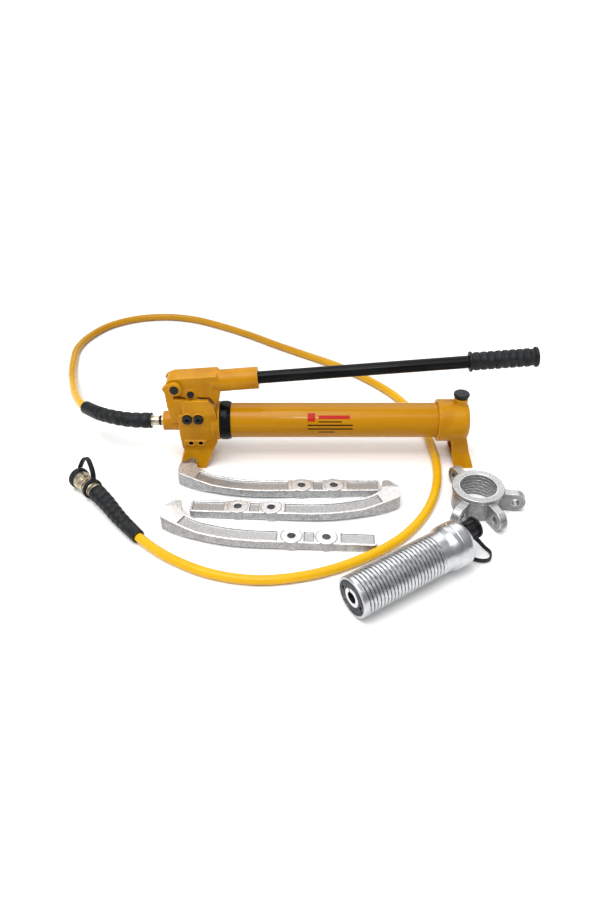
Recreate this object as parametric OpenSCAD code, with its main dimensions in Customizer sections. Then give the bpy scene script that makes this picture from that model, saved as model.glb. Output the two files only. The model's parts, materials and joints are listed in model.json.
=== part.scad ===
// Hydraulic gear puller kit: hand pump, hose, threaded ram, crosshead and three jaws, laid out on a floor.
// Units are millimetres. +X runs along the pump towards its grip, +Y away from the jaws, +Z up.
// The origin is on the floor under the middle of the pump head's foot.

/* [Pump] */
// Outside diameter of the oil reservoir tube
tube_d = 61; // [58:0.5:62]
// Height of the reservoir tube's axis above the floor
tube_z = 76; // [74:0.5:78]
// Length of the reservoir tube that shows between its lock ring and the rear stand
tube_len = 359; // [340:1:370]
// Diameter of the fulcrum pin that the lever turns on
fulcrum_d = 14; // [12:0.5:15]
// Diameter of the pump's plunger
plunger_d = 16; // [14:0.5:17]

/* [Lever] */
// Outside diameter of the handle tube
lever_tube_d = 21.5; // [20:0.5:24]
// Distance from the pump's origin to the grip's far end, along X
lever_reach = 588; // [560:1:600]
// Angle of the resting lever above the horizontal, in degrees
lever_angle = 4.9; // [4.5:0.1:5.5]
// Length of the rubber grip
grip_len = 114; // [100:1:125]

/* [Hose] */
// Outside diameter of the hose
hose_d = 15; // [12:0.5:15]

/* [Puller] */
// Diameter over the ram's thread
ram_d = 64; // [60:0.5:66]
// Length of the ram from its nose to the back of its collar
ram_len = 208; // [200:1:220]
// Pitch of the ram's thread
ram_pitch = 6; // [5:0.5:8]
// Minor radius of the crosshead's threaded bore
crosshead_bore_r = 30; // [28:0.5:31]
// Diameter of the bolt holes in the jaws and the crosshead
bolt_hole_d = 13; // [10:0.5:14]
// Distance between the two bolt holes in a jaw
jaw_hole_gap = 54.5; // [50:0.5:56]

/* [Hidden] */

yellow = [0.91, 0.62, 0.08];
steel = [0.74, 0.75, 0.77];
black = [0.09, 0.09, 0.1];
brass = [0.72, 0.62, 0.42];
$fn = 64;

// gap between a shaft and its hole, and between pieces that only lie beside each other
fit_gap = 0.05;
side_gap = 0.4;
// how far a cutting solid runs past the face that it cuts
over = 1;

// ---- pump head
body_half_y = 30;
ear_in_y = 17.6;
ear_out_y = 25;
ear_r = 12.5;
fulcrum = [-21, 152];
plunger_pin_at = [4.7, 138.5];
plunger_pin_d = 12;
plunger_x = 6;
block_top = 118;
cheek_top = 130;
cheek_low = 104;
plug_x = [-3, 16];
plug_z = 97;
plug_r = 8.5;
plug_out = 4;
pad_hole_x = [0, 17];
pad_z = 48;
pad_hole_r = 4;
outlet_z = 75;
outlet_x = -49;
gland_r = 12;
gland_h = 10;
seal_h = 5;
seal_z = block_top - gland_h - 6;
knob_x = 22;
knob_z = 62;
tube_r = tube_d / 2;
tube_wall = 2.5;
ring_x = 51;
ring_w = 19;
stand_x = ring_x + ring_w + tube_len;
tube_start = ring_x + 5;
tube_end = stand_x + 20;

// ---- rear stand
cap_r = 37;
cap_len = 55;
filler_x = stand_x + 39;
filler_z = tube_z + 46;

// ---- lever
lever_z0 = 151.8;
beam_half_y = 17;
socket_r = 18.75;
socket_end = 120;
tube_in_socket = 62;

// ---- crosshead, and the turns of its four ears
crosshead_at = [482, -143];
ear_turns = [112, -8, -68, -128];
ring_h = 42;
ear_reach = 62;
ear_t = 14;

// ---- jaws: [first bolt hole, turn, flipped over]
jaw_places = [[[192.5, -110], 1.6, 0], [[143, -167.7], 176.5, 1], [[176.5, -237], -2, 0]];
jaw_half_w = 14.5;
jaw_arm_t = 14;
jaw_boss_t = 17;
jaw_hook_t = 26;
jaw_boss_r = 16.5;
jaw_bend_r = 300;
jaw_bend_x = -55;
jaw_tail_x = 133;
jaw_toe_y = 72;
jaw_corner_x = -211;
jaw_hook_x = -190;
jaw_pocket_depth = 2.8;
jaw_pocket_half_w = 10.5;
jaw_tail_boss_edge = jaw_hole_gap + jaw_boss_r;
// a jaw rests on its thick hook and its tail boss, so it leans by this angle
jaw_lean = atan((jaw_hook_t - jaw_boss_t) / 2 / (jaw_tail_boss_edge - jaw_hook_x));
jaw_mid_z = jaw_boss_t / 2 * cos(jaw_lean) + jaw_tail_boss_edge * sin(jaw_lean) + 0.02;

// ---- ram: it rests on its nose and its collar
ram_nose_at = [261.5, -381.7];
ram_turn = 33.2;
ram_collar_r = ram_d / 2 + 4;
ram_collar_len = 46;
ram_lean = asin((ram_collar_r - ram_d / 2) / (ram_len - ram_collar_len + 12));
ram_bore_r = 26;
ram_rod_r = 15;
ram_retainer_t = 9;
ram_hole_r = 9;
ram_port = [-7, 6];
collar_z = ram_len - ram_collar_len;
thread_start = 6;
thread_depth = 2;
thread_turns = floor((collar_z - thread_start - 4) / ram_pitch);
strap_mid = [466, -262];
strap_r = 17;

// ---- hose coupler: it lies on its cap's rim
coupler_at = [-149, -131, 18.5];
coupler_turn = 134;
coupler_lean_strap = 19;
neck_len = 24;
neck_r = 13;
spigot_r = 10.5;
sleeve_len = 24;
sleeve_bore_r = 13;

// the hose's route: out of the pump, down to the floor, round behind the pump, under it and back in front
hose_r = hose_d / 2;
hose_z = hose_r + 0.2;
route = [[-70, 0, 75], [-108, 2, 75], [-142, 14, 73], [-172, 34, 68], [-204, 66, 60], [-226, 102, 50],
         [-248, 152, 37], [-268, 210, 24], [-286, 270, 14], [-298, 330, 9], [-304, 390, hose_z],
         [-290, 446, hose_z], [-256, 500, hose_z], [-200, 536, hose_z], [-130, 548, hose_z],
         [-60, 534, hose_z], [6, 500, hose_z], [76, 454, hose_z], [140, 405, hose_z], [206, 358, hose_z],
         [270, 312, hose_z], [330, 256, hose_z], [380, 192, hose_z], [412, 122, hose_z],
         [428, 48, hose_z], [432, -28, hose_z], [422, -102, hose_z], [394, -172, hose_z],
         [346, -234, hose_z], [278, -282, hose_z], [206, -312, hose_z], [130, -323, hose_z],
         [58, -310, hose_z], [-8, -277, 8.6], [-62, -234, 11.6], [-100, -191, 13.8],
         [-128, -155, 16.6], coupler_at];
rings_per_span = 2;
hose_sides = 10;
// route points that each bend-relief boot covers
pump_boot_points = 4;
coupler_boot_points = 4;

// a point of the smooth curve through p[i] and p[i + 1]
function spline(p, i, t) =
    let (a = p[max(i - 1, 0)], b = p[i], c = p[i + 1], d = p[min(i + 2, len(p) - 1)])
    b + (c - a) * t / 2 + (2 * a - 5 * b + 4 * c - d) * t * t / 2 + (3 * (b - c) + d - a) * t * t * t / 2;
function smooth(p, n) =
    concat([for (i = [0:len(p) - 2], k = [0:n - 1]) spline(p, i, k / n)], [p[len(p) - 1]]);
function unit(v) = v / norm(v);
function along(p, i) = unit(p[min(i + 1, len(p) - 1)] - p[max(i - 1, 0)]);
function part_of(p, from, to) = [for (i = [from:to]) p[i]];

// points of an arc in a plane
function arc(c, r, a0, a1, n = 8) =
    [for (i = [0:n]) c + r * [cos(a0 + (a1 - a0) * i / n), sin(a0 + (a1 - a0) * i / n)]];

// a solid of round rings swept along a path; radii holds one radius per point
module sweep(path, radii, sides) {
    count = len(path);
    points = [for (i = [0:count - 1])
        let (t = along(path, i), s = unit(cross([0, 0, 1], t)), u = cross(t, s))
        for (k = [0:sides - 1]) path[i] + radii[i] * (cos(360 * k / sides) * s + sin(360 * k / sides) * u)];
    walls = [for (i = [0:count - 2], k = [0:sides - 1])
        let (a = i * sides + k, b = i * sides + (k + 1) % sides)
        each [[a, a + sides, b + sides], [a, b + sides, b]]];
    near_end = [[for (k = [0:sides - 1]) k]];
    far_end = [[for (k = [sides - 1:-1:0]) (count - 1) * sides + k]];
    polyhedron(points, concat(walls, near_end, far_end));
}

// a flat strap: a band of even thickness along a 2D path
module band(path, t, w) {
    count = len(path);
    function side(i) = let (d = along(path, i)) [-d[1], d[0]];
    left = [for (i = [0:count - 1]) path[i] + side(i) * t / 2];
    right = [for (i = [count - 1:-1:0]) path[i] - side(i) * t / 2];
    translate([0, 0, -w / 2]) linear_extrude(w) polygon(concat(left, right));
}

module along_x(x, z, y = 0) translate([x, y, z]) rotate([0, 90, 0]) children();
module along_y(x, y, z) translate([x, y, z]) rotate([-90, 0, 0]) children();
// a shape drawn in the XZ plane, made y0 to y1 thick
module slab(y0, y1) translate([0, y1, 0]) rotate([90, 0, 0]) linear_extrude(y1 - y0) children();
// a shape drawn in the YZ plane, made x0 to x1 long
module bar(x0, x1) translate([x0, 0, 0]) rotate([90, 0, 90]) linear_extrude(x1 - x0) children();
module ring(r_out, r_in, h) difference() {
    cylinder(r = r_out, h = h);
    translate([0, 0, -over]) cylinder(r = r_in, h = h + 2 * over);
}

// ================= pump head
module foot(x_top, x_floor, z_top) intersection() {
    slab(-45, 45) polygon([[x_top[0], z_top], [x_floor[0], 0], [x_floor[1], 0], [x_top[1], z_top]]);
    bar(-600, 600) polygon([[-body_half_y, z_top], [-40, 0], [40, 0], [body_half_y, z_top]]);
}

module pump_ear() slab(ear_in_y, ear_out_y) union() {
    // a hollow under the ear leaves a ledge beside the block
    polygon([[-36, block_top - over], [-38, 146], [-42, 153], [-38, 158.5], [-27, 163], fulcrum,
             [-16, 142], [-24, 139], [-24, 133], [-8, 131], [-8, block_top - over]]);
    translate(fulcrum) circle(r = ear_r);
}

// the block's side rises beside the lever's beam, leaning in towards its top
module cheek() intersection() {
    slab(ear_in_y, body_half_y) polygon([[-10, cheek_low - over], [-10, cheek_top], [34, cheek_top],
                                         [44, 114], [47, cheek_low - over]]);
    bar(-20, 50) polygon([[ear_in_y, cheek_low - over], [body_half_y, cheek_low - over],
                          [body_half_y, cheek_low], [ear_out_y, cheek_top], [ear_in_y, cheek_top]]);
}

module pump_body() color(yellow) difference() {
    union() {
        foot([-13, 38], [-23, 24], 33);
        slab(-body_half_y, body_half_y)
            polygon([[-13, 32], [38, 32], [46, 49], [47, 60], [47, cheek_low], [-17.5, cheek_low], [-19, 69],
                     [-16, 38]]);
        slab(-ear_in_y - over, ear_in_y + over) polygon([[-17, 100], [47, 100], [47, 110], [43, block_top],
                                                         [-17, block_top]]);
        slab(-ear_out_y, ear_out_y)
            polygon([[-31, 86], [-16, 86], [-8, 110], [-8, 128], [-36, 128], [-35, 112]]);
        for (side = [0, 1]) mirror([0, side, 0]) {
            pump_ear();
            cheek();
        }
        along_x(outlet_x, outlet_z) cylinder(r = 17, h = 35);
        along_x(ring_x - 12, tube_z) cylinder(r = 34, h = 12);
        along_x(ring_x - over, tube_z) cylinder(r = tube_r - tube_wall - fit_gap, h = 30);
        translate([-11, -body_half_y - 2, pad_z - 5.5]) cube([38, 3, 11]);
    }
    // the room between the ears that the lever's nose turns in
    slab(-ear_in_y, ear_in_y) union() {
        translate(fulcrum) circle(r = 17.5);
        translate([-60, 128]) square([60, 60]);
    }
    along_y(fulcrum[0], -50, fulcrum[1]) cylinder(d = fulcrum_d + 2 * fit_gap, h = 100);
    // room for the plunger pin's head
    along_y(plunger_pin_at[0], -50, plunger_pin_at[1]) cylinder(d = plunger_pin_d + 8, h = 100);
    // plunger bore, the seal's groove and the gland's seat
    translate([plunger_x, 0, 66]) cylinder(d = plunger_d + 2 * fit_gap, h = 80);
    translate([plunger_x, 0, seal_z - 0.1]) cylinder(d = plunger_d + 5 + 2 * fit_gap, h = seal_h + 0.2);
    translate([plunger_x, 0, block_top - gland_h]) cylinder(r = gland_r + fit_gap, h = gland_h + over);
    // valve ports, each with a ball seat that opens into the plunger's bore
    for (x = plug_x) along_y(x, -body_half_y - over, plug_z) {
        cylinder(r = plug_r + fit_gap, h = 17);
        cylinder(r = 2.5, h = 26);
    }
    for (x = pad_hole_x) along_y(x, -body_half_y - 3, pad_z) cylinder(r = pad_hole_r, h = 17);
    // outlet, release valve and suction passages
    along_x(outlet_x - over, outlet_z) cylinder(r = 7, h = 17);
    along_x(outlet_x, outlet_z) cylinder(r = 3, h = 52);
    along_y(knob_x, body_half_y - 20, knob_z) cylinder(r = 5 + fit_gap, h = 21);
    along_x(30, tube_z - 14) cylinder(r = 5 + fit_gap, h = 60);
}

module reservoir_tube() color(yellow) along_x(tube_start, tube_z)
    ring(tube_r, tube_r - tube_wall, tube_end - tube_start);

module tube_lock_ring() color(black) along_x(ring_x + side_gap, tube_z) rotate_extrude()
    polygon([[tube_r + fit_gap, 0], [31.5, 0], [34, 2], [34.3, ring_w - 6], [32.5, ring_w - side_gap],
             [tube_r + fit_gap, ring_w - side_gap]]);

// the ring sits in the gap between the head's flange and the end of the tube
module tube_seal() color(black) along_x(ring_x + side_gap, tube_z)
    ring(tube_r - side_gap, tube_r - tube_wall + 0.1, 4);

module rear_stand() color(yellow) difference() {
    union() {
        along_x(stand_x, tube_z) rotate_extrude()
            polygon(concat([[0, 0], [cap_r - 1, 0], [cap_r, 1]], arc([cap_r - 12, cap_len - 12], 12, 0, 75),
                           [[0, cap_len]]));
        translate([filler_x, 0, tube_z]) cylinder(r = 12, h = filler_z - tube_z);
        foot([458, 489], [463, 497], 25);
        slab(-body_half_y, body_half_y) polygon([[455, 62], [458, 24], [489, 24], [480, 60]]);
    }
    // socket for the reservoir tube, and the oil space behind it
    along_x(stand_x - over, tube_z) cylinder(r = tube_r + fit_gap, h = 22);
    along_x(stand_x, tube_z) cylinder(r = 26, h = cap_len - 6);
    translate([filler_x, 0, tube_z]) cylinder(r = 7, h = 60);
    // the leg is a channel that is open towards the head
    slab(-24, 24) polygon([[440, 36], [480, 36], [490, 6], [440, 6]]);
}

module filler_cap() color(black) translate([filler_x, 0, filler_z + side_gap]) union() {
    rotate_extrude() polygon([[0, 0], [9.5, 0], [11.5, 3], [13.6, 4], [13.6, 8], [12.6, 9], [0, 9.4]]);
    translate([0, 0, -9]) cylinder(r = 7 - fit_gap, h = 9 + over);
}

// a knurled screw on the head's far face, whose tip shuts the return passage
module release_knob() color(black) along_y(knob_x, body_half_y - 18, knob_z) union() {
    cylinder(r = 5, h = 24);
    translate([0, 0, 18 + side_gap]) cylinder(r = 14, h = 15);
}

// ================= plunger, pins and valves
module pump_plunger() color(steel) difference() {
    union() {
        translate([plunger_x, 0, 80]) cylinder(d = plunger_d, h = 50);
        slab(-8, 8) union() {
            translate([plunger_x - 8, 126]) square([16, 16]);
            translate([plunger_x, plunger_pin_at[1]]) circle(r = 11);
        }
    }
    // a slot, because the pin swings sideways a little while the plunger goes straight up
    slab(-9, 9) translate([plunger_x, plunger_pin_at[1] + 0.1]) union() {
        square([3.8, plunger_pin_d + 1.3], center = true);
        for (x = [-1.9, 1.9]) translate([x, 0]) circle(d = plunger_pin_d + 1.3);
    }
}

module plunger_gland() color(steel) translate([plunger_x, 0, block_top - gland_h + side_gap])
    ring(gland_r, plunger_d / 2 + fit_gap, gland_h - side_gap);

module plunger_seal() color(black) translate([plunger_x, 0, seal_z])
    ring(plunger_d / 2 + 2.5, plunger_d / 2 + fit_gap, seal_h);

module pin(at, d, half_len) along_y(at[0], -half_len, at[1]) cylinder(d = d, h = 2 * half_len);
module fulcrum_pin() color(black) pin(fulcrum, fulcrum_d, ear_out_y + 3);
module plunger_pin() color(black) pin(plunger_pin_at, plunger_pin_d, beam_half_y + 3);
module snap_ring(at, d, y) along_y(at[0], y, at[1]) ring(d / 2 + 3, d / 2 + fit_gap, 1.2);
module fulcrum_pin_clip() color(black) snap_ring(fulcrum, fulcrum_d, ear_out_y + 0.2);
module plunger_pin_clip() color(black) snap_ring(plunger_pin_at, plunger_pin_d, beam_half_y + 0.2);

module valve_plugs() color(black) for (x = plug_x) along_y(x, -body_half_y - plug_out, plug_z) difference() {
    cylinder(r = plug_r, h = plug_out + 7);
    translate([0, 0, -over]) cylinder(r = 3.5, h = 6, $fn = 6);
}
module valve_springs() color(steel)
    for (x = plug_x) along_y(x, -body_half_y + 7 + 0.1, plug_z) ring(3, 2, 2.4);
module valve_ball(x) color(steel) along_y(x, -body_half_y + 14.3, plug_z) sphere(r = 3);
module suction_ball() valve_ball(plug_x[1]);
module delivery_ball() valve_ball(plug_x[0]);

module suction_strainer() color(brass) along_x(ring_x + 10, tube_z - 14) difference() {
    cylinder(r = 5, h = 50);
    translate([0, 0, -over]) cylinder(r = 3.5, h = 49);
}

// ================= lever
module lever_frame() translate([0, 0, lever_z0]) rotate([0, -lever_angle, 0]) rotate([0, 90, 0]) children();

module lever_beam() color(yellow) difference() {
    union() {
        slab(-beam_half_y, beam_half_y) union() {
            polygon(concat(arc(fulcrum, 16.5, 280, 95, 16),
                           [[50, 173.8], [55, 166], [55, 143], [53, 129], [46.5, 119.6], [36, 132]],
                           arc(plunger_pin_at, 13, -25, -150)));
        }
        intersection() {
            lever_frame() translate([0, 0, 40]) cylinder(r = socket_r, h = socket_end - 40);
            translate([40, -50, 0]) cube([200, 100, 400]);
        }
    }
    along_y(fulcrum[0], -50, fulcrum[1]) cylinder(d = fulcrum_d + 2 * fit_gap, h = 100);
    pin(plunger_pin_at, plunger_pin_d + 0.02, 50);
    lever_frame() translate([0, 0, tube_in_socket]) cylinder(d = lever_tube_d + 2 * fit_gap, h = 100);
    // room for the plunger's head while the beam swings up over it
    slab(-8.5, 8.5) translate(plunger_pin_at) union() {
        circle(r = 14);
        polygon([[-7, 7], [-26, -12], [-26, -40], [10, -40], [10, 0]]);
    }
}

module lever_tube() color(black) lever_frame() translate([0, 0, tube_in_socket + side_gap])
    ring(lever_tube_d / 2, lever_tube_d / 2 - 2.5, lever_reach - tube_in_socket - 6);

module lever_grip() color(black) lever_frame() translate([0, 0, lever_reach - grip_len]) difference() {
    union() {
        cylinder(r = 14, h = grip_len);
        for (z = [0, grip_len - 8]) translate([0, 0, z]) cylinder(r = 17, h = 8);
        for (k = [1:8]) translate([0, 0, k * (grip_len - 8) / 9 + 3]) cylinder(r = 15, h = 4);
    }
    translate([0, 0, -over]) cylinder(d = lever_tube_d + 2 * fit_gap, h = grip_len - 4);
}

// ================= outlet, hose and boots
module outlet_fitting() color(brass) along_x(outlet_x - 20, outlet_z) difference() {
    union() {
        cylinder(r = 8.5, h = 20 - side_gap);
        translate([0, 0, 19]) cylinder(r = 7 - fit_gap, h = 15);
    }
    translate([0, 0, -over]) cylinder(r = 3, h = 40);
    translate([0, 0, 13]) ring(12, 7.4, 2.6);
}
module outlet_seal() color(black) along_x(outlet_x - 7, outlet_z) ring(8.9, 7.45, 2.4);
// crimped on the hose's end, inside the boot
module pump_ferrule() color(steel) along_x(-94, outlet_z) ring(10, hose_r + 0.1, 24.6);

module pump_boot() color(black)
    sweep_boot(smooth(part_of(route, 0, pump_boot_points), rings_per_span), 14.2, 12);
module coupler_boot() color(black)
    sweep_boot(smooth(part_of(route, len(route) - coupler_boot_points, len(route) - 1), rings_per_span),
               11, 15);
module sweep_boot(path, r0, r1)
    sweep(path, [for (i = [0:len(path) - 1]) r0 + (r1 - r0) * i / (len(path) - 1)], 12);

module hose() color(yellow) {
    path = smooth(route, rings_per_span);
    sweep(path, [for (p = path) hose_r - 0.02], hose_sides);
}

// ================= coupler on the hose's end
module coupler_frame(s) translate(coupler_at) rotate([0, 0, coupler_turn]) rotate([0, 90, 0])
    translate([0, 0, s]) children();
module coupler_ferrule() color(steel) coupler_frame(-22) ring(10, hose_r + 0.1, 22);
module coupler_body() color(brass) coupler_frame(0.2) difference() {
    union() {
        cylinder(r = neck_r, h = neck_len);
        cylinder(r = spigot_r, h = neck_len + sleeve_len - 8);
    }
    translate([0, 0, 8]) cylinder(r = 5, h = 60);
}
module coupler_sleeve() color(brass) coupler_frame(neck_len + 0.5) difference() {
    union() {
        cylinder(r = 14, h = 9);
        translate([0, 0, 9]) cylinder(r = 15.5, h = sleeve_len - 9);
    }
    translate([0, 0, -over]) cylinder(r = spigot_r + fit_gap, h = 12);
    translate([0, 0, 10]) cylinder(r = sleeve_bore_r, h = 40);
}
module coupler_cap() color(black) coupler_frame(neck_len + sleeve_len + 0.9) union() {
    translate([0, 0, -7]) ring(sleeve_bore_r - fit_gap, spigot_r + side_gap, 8);
    cylinder(r = 18.2, h = 10);
    translate([0, 0, 10]) cylinder(r = 15, h = 3);
}
module coupler_strap() color(black) coupler_frame(0) rotate([0, 0, coupler_lean_strap]) union() {
    translate([0, 0, 10]) ring(17.4, neck_r + 0.1, 6);
    // the band rises from the ring, folds over and comes down behind the cap's rim
    rotate([90, 0, 0]) band([[-16.5, 13], [-25, 17], [-37, 27], [-44, 38], [-41, 46], [-30, 53],
                             [-19.8, 56]], 2.4, 9);
}

// ================= ram
module ram_frame(z) translate([ram_nose_at[0], ram_nose_at[1], ram_d / 2 * cos(ram_lean) + 0.02])
    rotate([0, 0, ram_turn]) rotate([0, -ram_lean, 0]) rotate([0, 90, 0]) translate([0, 0, z]) children();

function groove(i) = let (z = thread_start + i * ram_pitch, r = ram_d / 2, low = r - thread_depth)
    [[r, z], [low, z + ram_pitch * 0.35], [low, z + ram_pitch * 0.5], [r, z + ram_pitch * 0.85]];
ram_outline = concat([[0, 0], [ram_d / 2 - 1.5, 0], [ram_d / 2, 1.5]],
                     [for (i = [0:thread_turns - 1]) each groove(i)],
                     [[ram_d / 2, collar_z + 4], [ram_collar_r, collar_z + 14], [ram_collar_r, ram_len - 9],
                      [ram_collar_r - 8, ram_len], [0, ram_len]]);

module ram_barrel() color(steel) ram_frame(0) difference() {
    rotate_extrude($fn = 96) polygon(ram_outline);
    translate([0, 0, -over]) cylinder(r = ram_bore_r + 2, h = ram_retainer_t + over);
    cylinder(r = ram_bore_r, h = ram_len - 30);
    translate([ram_port[0], ram_port[1], ram_len - 40]) cylinder(r = 6, h = 60);
}

// the screwed ring that holds the rod in, with two holes for a pin spanner
module ram_retainer() color(black) ram_frame(0.8) difference() {
    ring(ram_bore_r + 2 - fit_gap, ram_rod_r + fit_gap, ram_retainer_t - 1);
    for (a = [0, 180]) rotate([0, 0, a + 100]) translate([21, 0, -over]) cylinder(r = 2.5, h = 6);
}
module ram_plunger() color(steel) ram_frame(0.4) difference() {
    union() {
        cylinder(r = ram_rod_r, h = 160);
        translate([0, 0, 150]) cylinder(r = ram_bore_r - fit_gap, h = 20);
    }
    translate([0, 0, -over]) cylinder(r = ram_hole_r, h = 31);
    translate([0, 0, 60]) cylinder(r = ram_hole_r, h = 120);
    translate([0, 0, 158]) ring(ram_bore_r + over, ram_bore_r - 3, 6);
}
module ram_seal() color(black) ram_frame(158.5) ring(ram_bore_r - fit_gap, ram_bore_r - 2.9, 5.7);
module ram_return_spring() color(steel) ram_frame(70) ring(8, 5.5, ram_len - 30 - 70);
module ram_nipple() color(steel)
    ram_frame(ram_len + 0.1) translate([ram_port[0], ram_port[1], 0]) difference() {
    union() {
        cylinder(r = 12, h = 7, $fn = 6);
        cylinder(r = 8, h = 22);
        translate([0, 0, -12]) cylinder(r = 5.9, h = 13);
    }
    translate([0, 0, -14]) cylinder(r = 3, h = 60);
}
module ram_cap() color(black) ram_frame(ram_len + 8.6) translate([ram_port[0], ram_port[1], 0]) union() {
    ring(14.5, 8.3, 16);
    translate([0, 0, 15]) cylinder(r = 14.5, h = 3);
    for (k = [0:11]) rotate([0, 0, 30 * k]) translate([14.4, 0, 0]) cylinder(r = 1, h = 15);
    translate([0, 0, 17]) cylinder(r = 17.5, h = 4);
}

// a flat loop that lies on its edge behind the cap
module ram_strap() color(black) translate([0, 0, 1.5]) linear_extrude(6)
    polygon(concat(arc(strap_mid, strap_r + 1.3, 95, -190, 14), arc(strap_mid, strap_r - 1.3, -190, 95, 14)));

// ================= crosshead
module crosshead() color(steel) translate([crosshead_at[0], crosshead_at[1], 0]) difference() {
    union() {
        cylinder(r = 40, h = ring_h);
        translate([0, 0, ring_h - 8]) cylinder(r = 42.5, h = 8);
        for (a = ear_turns) rotate([0, 0, a]) slab(-ear_t / 2, ear_t / 2) union() {
            translate([32, 2]) square([ear_reach - 32, 33]);
            translate([ear_reach, 18.5]) circle(r = 16.5);
        }
    }
    translate([0, 0, -over]) cylinder(r = crosshead_bore_r, h = ring_h + 2 * over);
    for (a = ear_turns) rotate([0, 0, a]) along_y(ear_reach, -20, 18.5) cylinder(d = bolt_hole_d, h = 40);
}

// ================= jaws: drawn with the first bolt hole at the origin, tail towards +X, tip towards +Y
bend_centre = [jaw_bend_x, jaw_bend_r];
function bend_arc(offset, a0, a1) = arc(bend_centre, jaw_bend_r + offset, -90 - a0, -90 - a1, 10);

module jaw_plan() polygon(concat(
    arc([jaw_tail_x - 6, -jaw_half_w + 6], 6, 0, -90, 4),
    bend_arc(jaw_half_w, 0, 26),
    arc([jaw_corner_x + 10, 34], 10, 230, 180, 4),
    [[jaw_corner_x + 1, 55], [-193, jaw_toe_y], [-182, jaw_toe_y], [-179, 48]],
    bend_arc(-jaw_half_w, 23, 0),
    arc([jaw_tail_x - 6, jaw_half_w - 6], 6, 90, 0, 4)));

// thin along the arm, thickening into the hook
module jaw_side() polygon([[140, -jaw_arm_t / 2], [140, jaw_arm_t / 2], [-150, jaw_arm_t / 2],
                           [jaw_hook_x, jaw_hook_t / 2], [-220, jaw_hook_t / 2], [-220, -jaw_hook_t / 2],
                           [jaw_hook_x, -jaw_hook_t / 2], [-150, -jaw_arm_t / 2]]);

module jaw_pockets() {
    w = jaw_pocket_half_w;
    gap = jaw_boss_r + 3;
    translate([jaw_hole_gap + gap + 3, -w]) square([jaw_tail_x - jaw_hole_gap - gap - 7, 2 * w]);
    translate([gap, -w]) square([jaw_hole_gap - 2 * gap, 2 * w]);
    polygon(concat([[-gap - 3, -w]], bend_arc(w, 0, 24), bend_arc(-w, 24, 0), [[-gap - 3, w]]));
}

// everything above the pockets' floors, which rise with the thickening hook
module jaw_pocket_side() {
    floor_z = jaw_arm_t / 2 - jaw_pocket_depth;
    hook_z = jaw_hook_t / 2 - jaw_pocket_depth;
    polygon([[140, floor_z], [-150, floor_z], [jaw_hook_x, hook_z], [-220, hook_z], [-220, 30], [140, 30]]);
}

module jaw(place) color(steel) translate([place[0][0], place[0][1], jaw_mid_z])
    rotate([0, 0, place[1]]) rotate([0, jaw_lean, 0]) mirror([0, place[2], 0]) difference() {
        union() {
            intersection() {
                translate([0, 0, -20]) linear_extrude(40) jaw_plan();
                slab(-60, 120) jaw_side();
            }
            for (x = [0, jaw_hole_gap]) translate([x, 0, -jaw_boss_t / 2])
                cylinder(r = jaw_boss_r, h = jaw_boss_t);
        }
        for (x = [0, jaw_hole_gap]) translate([x, 0, -20]) cylinder(d = bolt_hole_d, h = 40);
        for (side = [0, 1]) mirror([0, 0, side]) intersection() {
            linear_extrude(30) jaw_pockets();
            slab(-60, 120) jaw_pocket_side();
        }
    }
module jaw_1() jaw(jaw_places[0]);
module jaw_2() jaw(jaw_places[1]);
module jaw_3() jaw(jaw_places[2]);

pump_body();
reservoir_tube();
tube_lock_ring();
tube_seal();
rear_stand();
filler_cap();
release_knob();
pump_plunger();
plunger_gland();
plunger_seal();
plunger_pin();
plunger_pin_clip();
lever_beam();
lever_tube();
lever_grip();
fulcrum_pin();
fulcrum_pin_clip();
valve_plugs();
valve_springs();
suction_ball();
delivery_ball();
suction_strainer();
outlet_fitting();
outlet_seal();
pump_ferrule();
pump_boot();
hose();
coupler_boot();
coupler_ferrule();
coupler_body();
coupler_sleeve();
coupler_cap();
coupler_strap();
ram_barrel();
ram_retainer();
ram_plunger();
ram_seal();
ram_return_spring();
ram_nipple();
ram_cap();
ram_strap();
crosshead();
jaw_1();
jaw_2();
jaw_3();
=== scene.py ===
"""Looks of the hydraulic gear puller kit. Lengths in the tables are millimetres; Blender's own are metres."""

import json
from math import asin, atan, cos, degrees, pi, radians, sin, tau

import bmesh
import bpy
import numpy as np
from mathutils import Matrix, Vector


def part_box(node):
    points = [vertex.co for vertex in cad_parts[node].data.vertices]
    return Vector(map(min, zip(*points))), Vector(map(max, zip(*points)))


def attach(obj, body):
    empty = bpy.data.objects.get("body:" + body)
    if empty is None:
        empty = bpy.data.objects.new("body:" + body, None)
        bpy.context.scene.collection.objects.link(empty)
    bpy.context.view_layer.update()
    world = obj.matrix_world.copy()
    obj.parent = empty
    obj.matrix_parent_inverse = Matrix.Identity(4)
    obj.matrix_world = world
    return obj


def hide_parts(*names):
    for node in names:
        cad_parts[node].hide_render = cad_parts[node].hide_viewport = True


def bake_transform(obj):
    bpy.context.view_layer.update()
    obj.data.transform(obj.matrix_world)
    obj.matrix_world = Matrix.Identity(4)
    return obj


MM = 0.001
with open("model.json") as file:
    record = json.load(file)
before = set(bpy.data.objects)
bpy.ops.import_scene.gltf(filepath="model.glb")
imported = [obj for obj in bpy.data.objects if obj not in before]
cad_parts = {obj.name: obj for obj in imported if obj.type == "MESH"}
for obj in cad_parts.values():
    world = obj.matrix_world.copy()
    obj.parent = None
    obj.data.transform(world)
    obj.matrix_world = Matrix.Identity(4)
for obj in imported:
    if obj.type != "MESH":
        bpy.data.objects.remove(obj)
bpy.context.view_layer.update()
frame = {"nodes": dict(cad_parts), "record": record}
nodes = frame["nodes"]
record = frame["record"]
slot_of = {part["node"]: part["material_slot"] for part in record["subparts"]}
body_of = {node: body for body, members in record["behaviour"]["bodies"].items() for node in members}


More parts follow.
